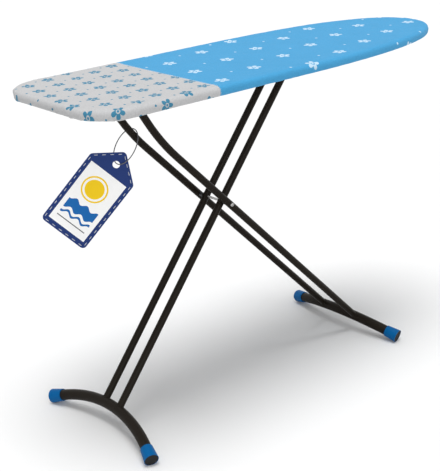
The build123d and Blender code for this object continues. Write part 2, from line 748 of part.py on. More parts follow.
with BuildPart() as lever_grip:
    with Locations((lever_elbow_x, grip_y, rack_middle)):
        Box(*grip_size)
    fillet(lever_grip.edges().filter_by(Axis.Z), grip_size[2] / 2)
    fillet(lever_grip.faces().sort_by(Axis.Z)[-1].edges(), grip_size[2] / 4)
    fillet(lever_grip.faces().sort_by(Axis.Z)[0].edges(), grip_size[2] / 4)
    with BuildSketch(Plane.XZ.offset(-grip_mouth_y - grip_grasp)):
        with Locations((lever_elbow_x, rack_middle)):
            Circle(lever_wire_radius + fit_gap)
    extrude(amount=grip_size[1], mode=Mode.SUBTRACT)
lever_grip.part.label = "lever_grip"
export_step(lever_grip.part, "parts/lever_grip.step")

with BuildPart() as lever_clevis:
    for _, side in SIDES:
        with BuildSketch(cross_plane(lever_axis, side * clevis_inner_y)):
            Circle(rack_depth / 2)
            with Locations((0, (lever_axis.Z - panel_bottom) / 2)):
                Rectangle(rack_depth, panel_bottom - lever_axis.Z)
        extrude(amount=side * clevis_thickness)
    with BuildSketch(Plane.XY.offset(panel_bottom - clevis_thickness)):
        with Locations((lever_pin_x, 0)):
            Rectangle(clevis_foot, 2 * (clevis_rivet_y + rivet_margin))
    extrude(amount=clevis_thickness)
    with BuildSketch(cross_plane(lever_axis)):
        Circle(lever_pin_radius + fit_gap)
    extrude(amount=clevis_outer_y, both=True, mode=Mode.SUBTRACT)
    with Locations(*on_panel(clevis_rivets)):
        Cylinder(rivet_hole, 2.5 * clevis_thickness, mode=Mode.SUBTRACT)
lever_clevis.part.label = "lever_clevis"
export_step(lever_clevis.part, "parts/lever_clevis.step")

with BuildPart() as lever_pin:
    with BuildSketch(cross_plane(lever_axis)):
        Circle(lever_pin_radius)
    extrude(amount=clevis_outer_y + clip_thickness, both=True)
    chamfer(lever_pin.edges().filter_by(GeomType.CIRCLE), lever_pin_radius / 8)
lever_pin.part.label = "lever_pin"
export_step(lever_pin.part, "parts/lever_pin.step")

with BuildPart() as lever_spring:
    spring_start = lever_axis + Vector(0, spring_end_y - spring_turns * spring_pitch, 0)
    with BuildLine() as path:
        coil = Helix(
            spring_pitch,
            spring_turns * spring_pitch,
            spring_radius,
            center=spring_start,
            direction=(0, 1, 0),
        )
        Line(coil @ 0 - (coil % 0) * spring_reach, coil @ 0)
        FilletPolyline(
            coil @ 1,
            coil @ 1 + (coil % 1) * spring_arm,
            coil @ 1 + (coil % 1) * spring_arm + Vector(0, 2 * rack_thickness, 0),
            radius=1.5 * spring_wire,
        )
    wire = path.wires()[0]
    with BuildSketch(Plane(origin=wire @ 0, z_dir=wire % 0)):
        Circle(spring_wire / 2)
    sweep(path=wire, is_frenet=True)
lever_spring.part.label = "lever_spring"
export_step(lever_spring.part, "parts/lever_spring.step")

keeper_low = rack_middle - lever_wire_radius - keeper_rest
with BuildPart() as lever_keeper:
    with BuildSketch(Plane.YZ.offset(keeper_x)):
        with Locations((0, (keeper_low - clevis_thickness + panel_bottom) / 2)):
            Rectangle(2 * keeper_outer_y, panel_bottom - keeper_low + clevis_thickness)
        with Locations((0, (keeper_low + panel_bottom) / 2)):
            Rectangle(2 * keeper_inner_y, panel_bottom - keeper_low, mode=Mode.SUBTRACT)
        with Locations(
            (keeper_rivet_y, panel_bottom - clevis_thickness / 2),
            (-keeper_rivet_y, panel_bottom - clevis_thickness / 2),
        ):
            Rectangle(2 * rivet_margin, clevis_thickness)
    extrude(amount=keeper_width / 2, both=True)
    with Locations(*on_panel(keeper_rivets)):
        Cylinder(rivet_hole, 2.5 * clevis_thickness, mode=Mode.SUBTRACT)
lever_keeper.part.label = "lever_keeper"
export_step(lever_keeper.part, "parts/lever_keeper.step")

# ---------------------------------------------------------------- hang tag
lean = radians(ring_lean)
ring_down = Vector(-sin(lean), 0, -cos(lean))
yaw = radians(-ring_yaw)
ring_side = Vector(0, cos(yaw), 0) + ring_down.cross(Vector(0, 1, 0)) * sin(yaw)
tag_distance = (crossing - outer_foot).length + tag_station
tag_place = outer_centre.position_at(tag_distance, position_mode=PositionMode.LENGTH)
print("lever pin", lever_axis)
print("tag hangs at", tag_place, "along", outer_centre % (tag_distance / outer_centre.length))
ring_rest = 1.22 * (leg_radius + ring_wire_radius + body_gap)
ring_turn = asin(ring_offset / ring_half_width)
ring_middle = tag_place + ring_down * (ring_half_length * cos(ring_turn) - ring_rest)
ring_middle = ring_middle + Vector(0, outer_half_spread, 0) + ring_side * ring_offset
ring_plane = Plane(origin=ring_middle, x_dir=ring_side, z_dir=ring_side.cross(ring_down))

with BuildPart() as tag_ring:
    with BuildLine(ring_plane) as path:
        EllipticalCenterArc((0, 0), ring_half_width, ring_half_length, arc_size=360)
    wire = path.wires()[0]
    with BuildSketch(Plane(origin=wire @ 0, z_dir=wire % 0)):
        Circle(ring_wire_radius)
    sweep(path=wire)
tag_ring.part.label = "tag_ring"
export_step(tag_ring.part, "parts/tag_ring.step")

turn = radians(-tag_facing)
back_lean = radians(tag_lean_back)
tag_right = Vector(cos(turn), sin(turn), 0)
tag_normal = Vector(sin(turn) * cos(back_lean), -cos(turn) * cos(back_lean), sin(back_lean))
tag_up = tag_normal.cross(tag_right)
tilt = radians(tag_tilt)
tag_x = tag_right * cos(tilt) - tag_up * sin(tilt)
ring_low = ring_middle + ring_down * ring_half_length
tag_middle = ring_low - tag_x * tag_hole_aside
tag_plane = Plane(origin=tag_middle, x_dir=tag_x, z_dir=tag_normal)
tag_top = tag_hole_drop - tag_hole_hang
with BuildPart() as tag_card:
    with BuildSketch(tag_plane):
        with BuildLine():
            Polyline(
                (0, tag_top),
                (tag_width / 2, tag_top - tag_roof),
                (tag_width / 2, tag_top - tag_roof - tag_body),
                (-tag_width / 2, tag_top - tag_roof - tag_body),
                (-tag_width / 2, tag_top - tag_roof),
                close=True,
            )
        make_face()
    extrude(amount=tag_thickness / 2, both=True)
    fillet(tag_card.edges().filter_by(Axis(tag_middle, tag_normal)), tag_corner)
    with BuildSketch(tag_plane):
        with Locations((0, -tag_hole_hang)):
            Circle(tag_hole_radius)
    extrude(amount=tag_thickness, both=True, mode=Mode.SUBTRACT)
tag_card.part.label = "tag_card"
export_step(tag_card.part, "parts/tag_card.step")
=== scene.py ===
# %% [markdown]
# An ironing board with a padded cloth cover on crossed black tube legs.
# The CAD frame gives every rigid piece its exact place. This file adds what CAD doesn't
# hold: finishes, the cover's cloth, the punched deck, stitches, weld beads and the tag's
# print. Everything is in metres in the CAD frame: +X to the nose, +Z up, floor at zero.

# %% Load the frame
import json
import math
import random

import bmesh
import bpy
import numpy as np
from mathutils import Matrix, Vector, geometry
from mathutils.bvhtree import BVHTree


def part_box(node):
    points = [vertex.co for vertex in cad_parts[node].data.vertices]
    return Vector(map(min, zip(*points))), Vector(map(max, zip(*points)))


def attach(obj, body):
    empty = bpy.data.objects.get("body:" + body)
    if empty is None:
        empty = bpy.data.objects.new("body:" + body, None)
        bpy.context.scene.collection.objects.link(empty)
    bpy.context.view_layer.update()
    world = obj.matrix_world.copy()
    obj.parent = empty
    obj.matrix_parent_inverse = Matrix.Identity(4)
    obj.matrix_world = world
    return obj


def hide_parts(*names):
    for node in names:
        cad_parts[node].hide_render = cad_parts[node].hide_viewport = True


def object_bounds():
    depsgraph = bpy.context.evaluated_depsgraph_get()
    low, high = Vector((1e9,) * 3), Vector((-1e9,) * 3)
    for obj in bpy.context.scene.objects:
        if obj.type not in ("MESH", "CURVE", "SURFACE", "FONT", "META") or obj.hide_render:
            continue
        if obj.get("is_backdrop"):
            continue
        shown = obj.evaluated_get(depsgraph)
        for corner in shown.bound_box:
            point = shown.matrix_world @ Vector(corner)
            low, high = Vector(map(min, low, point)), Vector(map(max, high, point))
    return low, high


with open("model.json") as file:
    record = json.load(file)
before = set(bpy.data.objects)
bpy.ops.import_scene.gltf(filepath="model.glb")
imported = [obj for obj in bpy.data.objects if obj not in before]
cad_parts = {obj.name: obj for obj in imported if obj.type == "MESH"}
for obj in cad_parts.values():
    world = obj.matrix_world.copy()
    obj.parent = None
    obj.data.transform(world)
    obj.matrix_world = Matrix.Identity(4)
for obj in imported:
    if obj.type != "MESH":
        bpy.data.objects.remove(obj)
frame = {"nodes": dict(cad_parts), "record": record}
cad_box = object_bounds()
scene = bpy.context.scene
board_top = max(p[2] for p in cad_box)

# %% [markdown]
# The camera stands beyond the square end, to its right, and looks slightly down through a
# long lens. Its three axes are worked out from the direction it looks in and its roll, so
# each number means something by itself.

# %% Camera
camera_place = Vector((-1.7584, -1.9656, 1.3871))
camera_turn, camera_rise, camera_roll = map(math.radians, (-39.60, 21.19, -2.715))
back = Vector((
    math.sin(camera_turn) * math.cos(camera_rise),
    -math.cos(camera_turn) * math.cos(camera_rise),
    math.sin(camera_rise),
))
level = Vector((math.cos(camera_turn), math.sin(camera_turn), 0))
upright = back.cross(level)
right = level * math.cos(camera_roll) + upright * math.sin(camera_roll)
up = upright * math.cos(camera_roll) - level * math.sin(camera_roll)
lens = bpy.data.cameras.new("camera")
lens.lens = 82.49
lens.sensor_width = 36.0
lens.clip_end = 50.0
camera = bpy.data.objects.new("camera", lens)
camera.matrix_world = Matrix.Translation(camera_place) @ Matrix((right, up, back)).transposed().to_4x4()
scene.collection.objects.link(camera)
scene.camera = camera
scene.view_settings.view_transform = "Standard"
camera_far = (camera_place - Vector((0, 0, board_top))).length
print("camera to the middle of the board, m", round(camera_far, 3))

# %% [markdown]
# Materials, patterns and the world are all trees of nodes. A few small helpers each add
# one node and wire it. They take a socket or a plain value for any input, and an input's
# name is written with _ for a space.

# %% Helpers for node trees
def feed(tree, value, socket):
    """Gives a socket its value: linked where that is a socket, else set on it."""
    if hasattr(value, "is_linked"):
        tree.links.new(value, socket)
    else:
        socket.default_value = value


def wired(tree, kind, settings=None, **inputs):
    """A node with its settings made and its inputs fed by name. Returns its outputs."""
    node = tree.nodes.new(kind)
    for setting, value in (settings or {}).items():
        setattr(node, setting, value)
    for name, value in inputs.items():
        feed(tree, value, node.inputs[name.replace("_", " ")])
    return node.outputs


def calc(tree, operation, *values):
    """A Math node on sockets or numbers. Returns its output."""
    node = tree.nodes.new("ShaderNodeMath")
    node.operation = operation
    for value, socket in zip(values, node.inputs):
        feed(tree, value, socket)
    return node.outputs[0]


def times(tree, a, b):
    """One value times another."""
    return calc(tree, "MULTIPLY", a, b)


def plus(tree, a, b):
    """One value plus another."""
    return calc(tree, "ADD", a, b)


def vector_calc(tree, operation, *values):
    """A Vector Math node on sockets or sets of three numbers. Returns the node."""
    node = tree.nodes.new("ShaderNodeVectorMath")
    node.operation = operation
    for value, socket in zip(values, node.inputs):
        feed(tree, value, socket)
    return node


def ranged(tree, value, to, start=(0.0, 1.0), curve="LINEAR"):
    """A value carried over from one range to another. Returns the new value."""
    return wired(
        tree, "ShaderNodeMapRange", {"interpolation_type": curve}, Value=value,
        From_Min=start[0], From_Max=start[1], To_Min=to[0], To_Max=to[1])["Result"]


def split(tree, where):
    """The X, Y and Z of a vector, as three sockets."""
    return tuple(wired(tree, "ShaderNodeSeparateXYZ", Vector=where))


def new_material(name, **values):
    """A material, its tree and its Principled shader, with constants on its sockets."""
    made = bpy.data.materials.new(name)
    made.use_nodes = True
    shader = made.node_tree.nodes["Principled BSDF"]
    for socket, value in values.items():
        shader.inputs[socket.replace("_", " ")].default_value = value
    return made, made.node_tree, shader


# %% [markdown]
# A very wide soft lamp almost straight above makes one broad, faint shadow under the board,
# and a weaker one from the front lights its edge. Both are sun lamps, so the floor gets the
# same light everywhere and runs into the white behind it. The world is white to the
# camera and in reflections, and about half as bright where it lights the board.

# %% Lamps, world and floor
def soft_lamp(name, place, spread, strength):
    """A sun lamp that shines from a place towards the middle; spread softens its shadow."""
    light = bpy.data.lights.new(name, "SUN")
    light.angle = math.radians(spread)
    light.energy = strength
    lamp = bpy.data.objects.new(name, light)
    turn = (-Vector(place)).to_track_quat("-Z", "Y").to_matrix().to_4x4()
    lamp.matrix_world = Matrix.Translation(place) @ turn
    scene.collection.objects.link(lamp)


soft_lamp("above", (-0.16, -0.15, 3.0), 33.0, 2.36)
soft_lamp("front", (-1.3, -2.9, 1.25), 40.0, 0.80)

fill_light, full_white = 0.46, 1.0
world = bpy.data.worlds.new("studio")
world.use_nodes = True
scene.world = world
tree = world.node_tree
tree.nodes.clear()
ray = wired(tree, "ShaderNodeLightPath")
white = calc(tree, "MAXIMUM", ray["Is Camera Ray"], ray["Is Glossy Ray"])
white = calc(tree, "MAXIMUM", white, ray["Is Transmission Ray"])
strength = ranged(tree, white, (fill_light, full_white))
sky = wired(tree, "ShaderNodeBackground", Color=(1, 1, 1, 1), Strength=strength)
wired(tree, "ShaderNodeOutputWorld", Surface=sky[0])


def mesh_piece(name, points, faces, smooth=True):
    """An object at the origin from points and faces."""
    mesh = bpy.data.meshes.new(name)
    mesh.from_pydata([tuple(p) for p in points], [], faces)
    mesh.validate()
    if smooth:
        mesh.shade_smooth()
    else:
        mesh.shade_flat()
    piece = bpy.data.objects.new(name, mesh)
    scene.collection.objects.link(piece)
    return piece


floor_reach = 9
floor_corners = [(x * floor_reach, y * floor_reach, 0) for x, y in ((-1, -1), (1, -1), (1, 1), (-1, 1))]
floor = mesh_piece("floor", floor_corners, [(0, 1, 2, 3)], False)
floor_paint, _, _ = new_material(
    "floor", Base_Color=(0.80, 0.80, 0.80, 1), Roughness=1.0, Specular_IOR_Level=0.0)
floor.data.materials.append(floor_paint)
floor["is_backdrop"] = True

# %% [markdown]
# Paint, plate, moulding and cloth all carry fine unevenness. One shader group makes it:
# two sizes of noise, mixed into a tone from 0 to 1 and a height for a Bump node. It reads
# Object coordinates, so it stays put on the piece in any pose.

# %% A shader group for fine unevenness
def group_tree(name, outputs, **values):
    """A shader group with a Position and named numbers, and its two end nodes."""
    group = bpy.data.node_groups.new(name, "ShaderNodeTree")
    group.interface.new_socket("Position", in_out="INPUT", socket_type="NodeSocketVector")
    for socket, value in values.items():
        made = group.interface.new_socket(
            socket.replace("_", " "), in_out="INPUT", socket_type="NodeSocketFloat")
        made.default_value = value
    for socket in outputs:
        group.interface.new_socket(socket, in_out="OUTPUT", socket_type="NodeSocketFloat")
    return group, group.nodes.new("NodeGroupInput").outputs, group.nodes.new("NodeGroupOutput").inputs


def noise(tree, where, scale, detail=2.0):
    """A Noise Texture's value, with scale in repeats per metre."""
    return wired(tree, "ShaderNodeTexNoise", Vector=where, Scale=scale, Detail=detail)[0]


uneven, given, out = group_tree(
    "unevenness", ("Tone", "Height"), Fine_scale=900.0, Broad_scale=30.0, Fine_share=0.5)
fine = noise(uneven, given["Position"], given["Fine scale"])
broad = noise(uneven, given["Position"], given["Broad scale"], 4.0)
broad_share = calc(uneven, "SUBTRACT", 1.0, given["Fine share"])
tone = plus(uneven, times(uneven, fine, given["Fine share"]), times(uneven, broad, broad_share))
uneven.links.new(tone, out["Tone"])
uneven.links.new(fine, out["Height"])
print("shader group", uneven.name)

# %% [markdown]
# Woven cloth is two sets of threads that go over and under each other. A second group
# makes the cover's plain weave from two sine ridges that swap at each crossing, with
# slightly uneven threads that wander a little.

# %% A shader group for plain weave
weave, given, out = group_tree("plain_weave", ("Height", "Shade"), Threads=1400.0, Slub=0.3)
wander = (0.0009, 0.0009, 0.0009)
drift = noise(weave, given["Position"], 90.0).node.outputs["Color"]
drift = vector_calc(weave, "MULTIPLY", drift, wander).outputs[0]
moved = vector_calc(weave, "ADD", given["Position"], drift).outputs[0]
along, across, upward = split(weave, moved)
warp, weft = (
    calc(weave, "SINE", times(weave, way, given["Threads"]))
    for way in (along, plus(weave, across, upward))
)
crossing_height = times(weave, times(weave, warp, weft), 0.5)
slub = noise(weave, moved, 260.0)
weave.links.new(plus(weave, crossing_height, slub), out["Height"])
shade = times(weave, calc(weave, "SUBTRACT", slub, 0.5), given["Slub"])
weave.links.new(plus(weave, shade, 1.0), out["Shade"])
print("shader group", weave.name)

# %% [markdown]
# Each finish is one material: the Principled shader with its constants set on its own
# sockets, and the group's varying tone mixed into colour and roughness. A small helper
# keeps them alike; what differs is named in the table below it.

# %% Rigid finishes
tone_span = (0.3, 0.7)


def placed(tree, group, where, **values):
    """A shader group's outputs at a place, with its named numbers."""
    return wired(tree, "ShaderNodeGroup", {"node_tree": group}, Position=where, **values)


def mix_colour(tree, factor, first, second):
    """Mixes two colours; each is a socket or three numbers."""
    first, second = ((*c, 1) if isinstance(c, tuple) else c for c in (first, second))
    return wired(tree, "ShaderNodeMix", {"data_type": "RGBA"}, Factor=factor, A=first, B=second)["Result"]


def relief(tree, shader, height, distance, strength=1.0):
    """Raises a shader's surface by a height times a distance in metres."""
    bump = wired(tree, "ShaderNodeBump", Height=height, Distance=distance, Strength=strength)
    tree.links.new(bump[0], shader.inputs["Normal"])


def finish_material(name, light, dark, rough, uneven_rough=0.08, metal=0.0, fine=900.0,
                    broad=30.0, bump=0.00002, gloss=0.5):
    """A material whose colour runs from dark to light and whose surface is uneven."""
    made, tree, shader = new_material(name, Metallic=metal, Specular_IOR_Level=gloss)
    place = wired(tree, "ShaderNodeTexCoord")["Object"]
    patches = placed(tree, uneven, place, Fine_scale=fine, Broad_scale=broad)
    tree.links.new(mix_colour(tree, patches["Tone"], dark, light), shader.inputs["Base Color"])
    rough_span = (rough - uneven_rough, rough + uneven_rough)
    tree.links.new(ranged(tree, patches["Tone"], rough_span, tone_span), shader.inputs["Roughness"])
    relief(tree, shader, patches["Height"], bump)
    return made


def paint(piece, material):
    """Makes a material a piece's only one."""
    piece.data.materials.clear()
    piece.data.materials.append(material)


finishes = {
    "black_enamel": finish_material(
        "black_enamel", (0.017, 0.013, 0.009), (0.009, 0.007, 0.005), 0.38, 0.07,
        fine=700.0, bump=0.00006, gloss=0.07),
    "zinc_steel": finish_material(
        "zinc_steel", (0.52, 0.51, 0.50), (0.36, 0.36, 0.35), 0.34, 0.10, metal=1.0,
        fine=350.0, broad=60.0),
    "spring_steel": finish_material(
        "spring_steel", (0.46, 0.45, 0.44), (0.30, 0.30, 0.30), 0.30, metal=1.0),
    "deck_enamel": finish_material(
        "deck_enamel", (0.74, 0.75, 0.76), (0.66, 0.67, 0.68), 0.42, 0.06,
        fine=500.0, bump=0.00005),
    "blue_plastic": finish_material(
        "blue_plastic", (0.001, 0.110, 0.315), (0.001, 0.090, 0.270), 0.38, 0.06,
        fine=1600.0, bump=0.00004, gloss=0.07),
    "black_rubber": finish_material(
        "black_rubber", (0.018, 0.018, 0.019), (0.010, 0.010, 0.010), 0.78,
        fine=1200.0, bump=0.00010, gloss=0.25),
    "black_plastic": finish_material(
        "black_plastic", (0.024, 0.024, 0.025), (0.015, 0.015, 0.016), 0.50, 0.06,
        fine=1500.0, bump=0.00004, gloss=0.30),
    "grey_plastic": finish_material(
        "grey_plastic", (0.13, 0.13, 0.14), (0.09, 0.09, 0.10), 0.36, 0.05),
}
slots = {s["node"]: s["material_slot"] for s in frame["record"]["subparts"]}
for node, piece in frame["nodes"].items():
    if slots[node] in finishes:
        paint(piece, finishes[slots[node]])
print("finished nodes", sum(slots[n] in finishes for n in slots))

# %% [markdown]
# The cover is a fitted bag of cloth. It lies on the felt, rolls over the edge and turns in
# underneath, where a tape gathers it. Its outline is the board's: a straight end with
# rounded corners, straight sides and a long taper drawn by one Bezier curve. Rings of
# points at growing distances inside that outline give the turned-in hem, the side and the
# roll; a triangulated field of points fills the flat top.

# %% The board's outline
half_length, half_width = 0.600, 0.200
corner_radius, taper_start = 0.095, 0.012
taper_handles = ((0.312, 0.200), (0.600, 0.158))
end_steps, corner_steps, side_steps, taper_steps = 13, 18, 65, 100


def right_half():
    """Points and outward normals from the middle of the square end to the nose tip."""
    corner_y = half_width - corner_radius
    points = [(-half_length, corner_y * i / end_steps) for i in range(end_steps)]
    normals = [(-1.0, 0.0)] * end_steps
    for i in range(corner_steps + 1):
        turn = math.pi / 2 * i / corner_steps
        normals.append((-math.cos(turn), math.sin(turn)))
        points.append((
            -half_length + corner_radius * (1 - math.cos(turn)),
            corner_y + corner_radius * math.sin(turn),
        ))
    run = taper_start + half_length - corner_radius
    for i in range(1, side_steps):
        points.append((-half_length + corner_radius + run * i / side_steps, half_width))
        normals.append((0.0, 1.0))
    ends = [(taper_start, half_width), *taper_handles, (half_length, 0.0)]
    p0, p1, p2, p3 = (np.array(p) for p in ends)
    for i in range(taper_steps + 1):
        t = i / taper_steps
        place = (1 - t) ** 3 * p0 + 3 * (1 - t) ** 2 * t * p1 + 3 * (1 - t) * t * t * p2 + t ** 3 * p3
        way = (1 - t) ** 2 * (p1 - p0) + 2 * (1 - t) * t * (p2 - p1) + t * t * (p3 - p2)
        way = way / np.linalg.norm(way)
        points.append(tuple(place))
        normals.append((-way[1], way[0]))
    return points, normals


half_points, half_normals = right_half()
edge = np.array(half_points + [(x, -y) for x, y in half_points[-2:0:-1]])
edge_out = np.array(half_normals + [(x, -y) for x, y in half_normals[-2:0:-1]])
edge_run = np.concatenate([[0], np.cumsum(np.linalg.norm(np.roll(edge, -1, 0) - edge, axis=1))])
count = len(edge)
print("points round the edge", count, "length, m", round(float(edge_run[-1]), 3))

# %% Rings, flats and lattices inside the outline
flat_rows, edge_clear = 0.866, 0.62


def inset(distance):
    """The outline drawn in by a distance, as an array of x and y."""
    return edge - edge_out * distance


def inside(loop, x, y):
    """Whether a point is inside a closed loop of points."""
    x1, y1, x2, y2 = loop[:-1, 0], loop[:-1, 1], loop[1:, 0], loop[1:, 1]
    crosses = (y1 > y) != (y2 > y)
    with np.errstate(divide="ignore", invalid="ignore"):
        at = x1 + (y - y1) / (y2 - y1) * (x2 - x1)
    return bool(np.count_nonzero(crosses & (x < at)) % 2)


def near(ring, x, y):
    """Distance from a point to the nearest point of a ring."""
    return float(np.sqrt(((ring - (x, y)) ** 2).sum(1).min()))


def lattice(ring, pitch, row_share):
    """Points of a triangular lattice inside a ring, row by row, rows a share of pitch apart."""
    loop = np.vstack([ring, ring[:1]])
    rows, columns = int(half_width / (pitch * row_share)) + 1, int(half_length / pitch) + 1
    for row in range(-rows, rows + 1):
        shift = pitch / 2 if row % 2 else 0.0
        for column in range(-columns, columns + 1):
            x, y = column * pitch + shift, row * pitch * row_share
            if inside(loop, x, y):
                yield x, y


def ring_quads(rings, closed=False):
    """Quads between rings of points, in order; closed joins the last ring to the first."""
    return [
        (r * count + i, r * count + (i + 1) % count,
         (r + 1) % rings * count + (i + 1) % count, (r + 1) % rings * count + i)
        for r in range(rings if closed else rings - 1)
        for i in range(count)
    ]


def ring_form(steps, closed=False):
    """Points and quads of rings, each given by its inset and its height."""
    points = [(x, y, height) for distance, height in steps for x, y in inset(distance)]
    return points, ring_quads(len(steps), closed)


def add_flat(points, faces, ring, step, spacing, down=False):
    """Closes one ring of a form with triangles. Returns the points that it added."""
    distance, height = step
    around = inset(distance)
    field = [p for p in lattice(around, spacing, flat_rows) if near(around, *p) > spacing * edge_clear]
    border = [(i, (i + 1) % count) for i in range(count)]
    flat, _, triangles, *_ = geometry.delaunay_2d_cdt(
        [Vector(p) for p in (*around, *field)], border, [], 1, 1e-6)
    first, extra = ring * count, len(points) - count
    for triangle in triangles:
        corners = [first + i if i < count else extra + i for i in triangle]
        faces.append(tuple(reversed(corners) if down else corners))
    added = [(p.x, p.y, height) for p in flat[count:]]
    points += added
    return added


# %% [markdown]
# The felt under the cover is a slab with a soft upper edge. Only its underside shows,
# through the holes of the deck.

# %% The felt
def outward(piece):
    """Turns a closed piece's faces outwards."""
    work = bmesh.new()
    work.from_mesh(piece.data)
    bmesh.ops.recalc_face_normals(work, faces=work.faces)
    work.to_mesh(piece.data)
    work.free()


def triangle_count(piece):
    """How many triangles a piece has."""
    return sum(len(f.vertices) - 2 for f in piece.data.polygons)


coarse = 0.016
felt_low, felt_high = (Vector(p).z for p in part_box("felt_pad"))
felt_steps = (
    (0.0034, felt_low + 0.0002), (0.0024, felt_low + 0.0015), (0.0030, felt_high - 0.0025),
    (0.0050, felt_high - 0.0009), (0.0095, felt_high - 0.0003),
)
felt_points, felt_faces = ring_form(felt_steps)
add_flat(felt_points, felt_faces, len(felt_steps) - 1, felt_steps[-1], coarse)
add_flat(felt_points, felt_faces, 0, felt_steps[0], coarse, down=True)
felt = mesh_piece("felt_layer", felt_points, felt_faces)
outward(felt)
felt.data.materials.append(finish_material(
    "felt", (0.80, 0.78, 0.72), (0.58, 0.56, 0.52), 0.95, 0.03, fine=420.0, broad=150.0, bump=0.0009))
print("felt triangles", triangle_count(felt))

# %% [markdown]
# The cover starts as clean rings and is then dressed by Blender's cloth solver: its raw
# edge is held where the tape gathers it, and it is drawn tight over the felt and the rim,
# which are a plain solid form it can't pass through. Gathers are built into the hem before
# the solver runs, because the tape puckers the cloth there, most where the edge curves.

# %% Where the hem is gathered
full_gather_radius, spread_points = 0.10, 15
wave_rates, rate_step, rate_scale = (42, 58), 0.55, 2.2
curve_gather = np.zeros(count)
for i in range(count):
    here, after = edge_out[i - 1], edge_out[(i + 1) % count]
    bend = math.acos(max(-1.0, min(1.0, float(here @ after))))
    span = float(np.linalg.norm(edge[(i + 1) % count] - edge[i - 1]))
    curve_gather[i] = min(1.0, bend / span * full_gather_radius)
wrap = spread_points // 2
wrapped = np.concatenate([curve_gather[-wrap:], curve_gather, curve_gather[:wrap]])
curve_gather = np.convolve(wrapped, np.ones(spread_points) / spread_points, "valid")
rng = random.Random(7)
waves = [
    (rng.uniform(*wave_rates) * (k + 1) * rate_step, rng.uniform(0, 6.28), 1.0 / (k + 1.2))
    for k in range(5)
]
pucker = np.array([
    sum(share * math.sin(2 * math.pi * rate * edge_run[i] / edge_run[-1] * rate_scale + phase)
        for rate, phase, share in waves)
    for i in range(count)
])
pucker = pucker / np.abs(pucker).max()
print("strongest gather", round(float(curve_gather.max()), 2))

# %% The cover's starting shape
cover_low, cover_high = (Vector(p).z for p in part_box("cover"))
cover_spacing = 0.0085
cover_steps = (
    (0.0395, 0.0012), (0.0330, 0.0010), (0.0265, 0.0008), (0.0200, 0.0006), (0.0140, 0.0004),
    (0.0085, 0.0002), (0.0045, 0.0004), (0.0018, 0.0018), (0.0006, 0.0044), (0.0002, 0.0085),
    (0.0003, 0.0130), (0.0008, 0.0168), (0.0020, 0.0198), (0.0042, 0.0219), (0.0075, 0.0230),
    (0.0120, 0.0234),
)
hem_start, hem_reach, hem_rise = 0.004, 0.036, 0.003
side_rise, roof_share = 0.018, 0.25
gather_least, gather_more, ripple_size, ripple_least, hem_lift = 0.0006, 0.0021, 0.0005, 0.35, 0.0003
cover_points = []
for distance, rise in cover_steps:
    under = max(0.0, min(1.0, (distance - hem_start) / hem_reach)) if rise < hem_rise else 0.0
    side = 1.0 if rise < side_rise else roof_share
    for i, (x, y) in enumerate(inset(distance)):
        gather = pucker[i] * (gather_least + gather_more * curve_gather[i]) * under
        ripple = ripple_size * pucker[i] * side * (ripple_least + curve_gather[i])
        lift = abs(gather) + hem_lift
        cover_points.append((
            x + edge_out[i][0] * min(ripple, 0.0), y + edge_out[i][1] * min(ripple, 0.0),
            cover_low + rise + (lift if under else 0.0),
        ))
top_inset, top_rise = cover_steps[-1]
cover_faces = ring_quads(len(cover_steps))
top_step = (top_inset, cover_low + top_rise)
top_field = add_flat(cover_points, cover_faces, len(cover_steps) - 1, top_step, cover_spacing)
cover = mesh_piece("cover_cloth", cover_points, cover_faces)
outward(cover)
print("cover points", len(cover.data.vertices), "faces", len(cover.data.polygons))

# %% Where each point lies on the flat cloth
flat_places = inset(top_inset).tolist() + [(x, y) for x, y, _ in top_field]
reach = 0.0
for outer, inner in zip(cover_steps[-2::-1], cover_steps[:0:-1]):
    reach += math.dist(inner, outer)
    flat_places[:0] = (inset(top_inset) + edge_out * reach).tolist()
flat_cloth = cover.data.attributes.new("flat_cloth", "FLOAT_VECTOR", "POINT")
for mark, (x, y) in zip(flat_cloth.data, flat_places):
    mark.vector = (x, y, 0.0)
print("cloth from edge to edge over the hem, m", round(2 * (half_width - top_inset + reach), 3))

# %% [markdown]
# The form the cloth is drawn over is the felt and the rim together, a little smaller all
# round, because the solver keeps cloth a small distance off what it touches.

# %% The form under the cloth
form_steps = [(distance, cover_low + rise) for distance, rise in (
    (0.0500, 0.0030), (0.0140, 0.0030), (0.0075, 0.0031), (0.0040, 0.0040), (0.0024, 0.0060),
    (0.0019, 0.0095), (0.0019, 0.0130), (0.0026, 0.0165), (0.0042, 0.0192), (0.0070, 0.0209),
    (0.0115, 0.0218),
)]
form_points, form_faces = ring_form(form_steps)
add_flat(form_points, form_faces, len(form_steps) - 1, form_steps[-1], coarse)
form = mesh_piece("cloth_form", form_points, form_faces)
outward(form)
form.modifiers.new("collision", "COLLISION")
form.collision.thickness_outer = 0.0006
form.collision.thickness_inner = 0.004
form.collision.cloth_friction = 12.0
print("form faces", len(form.data.polygons))

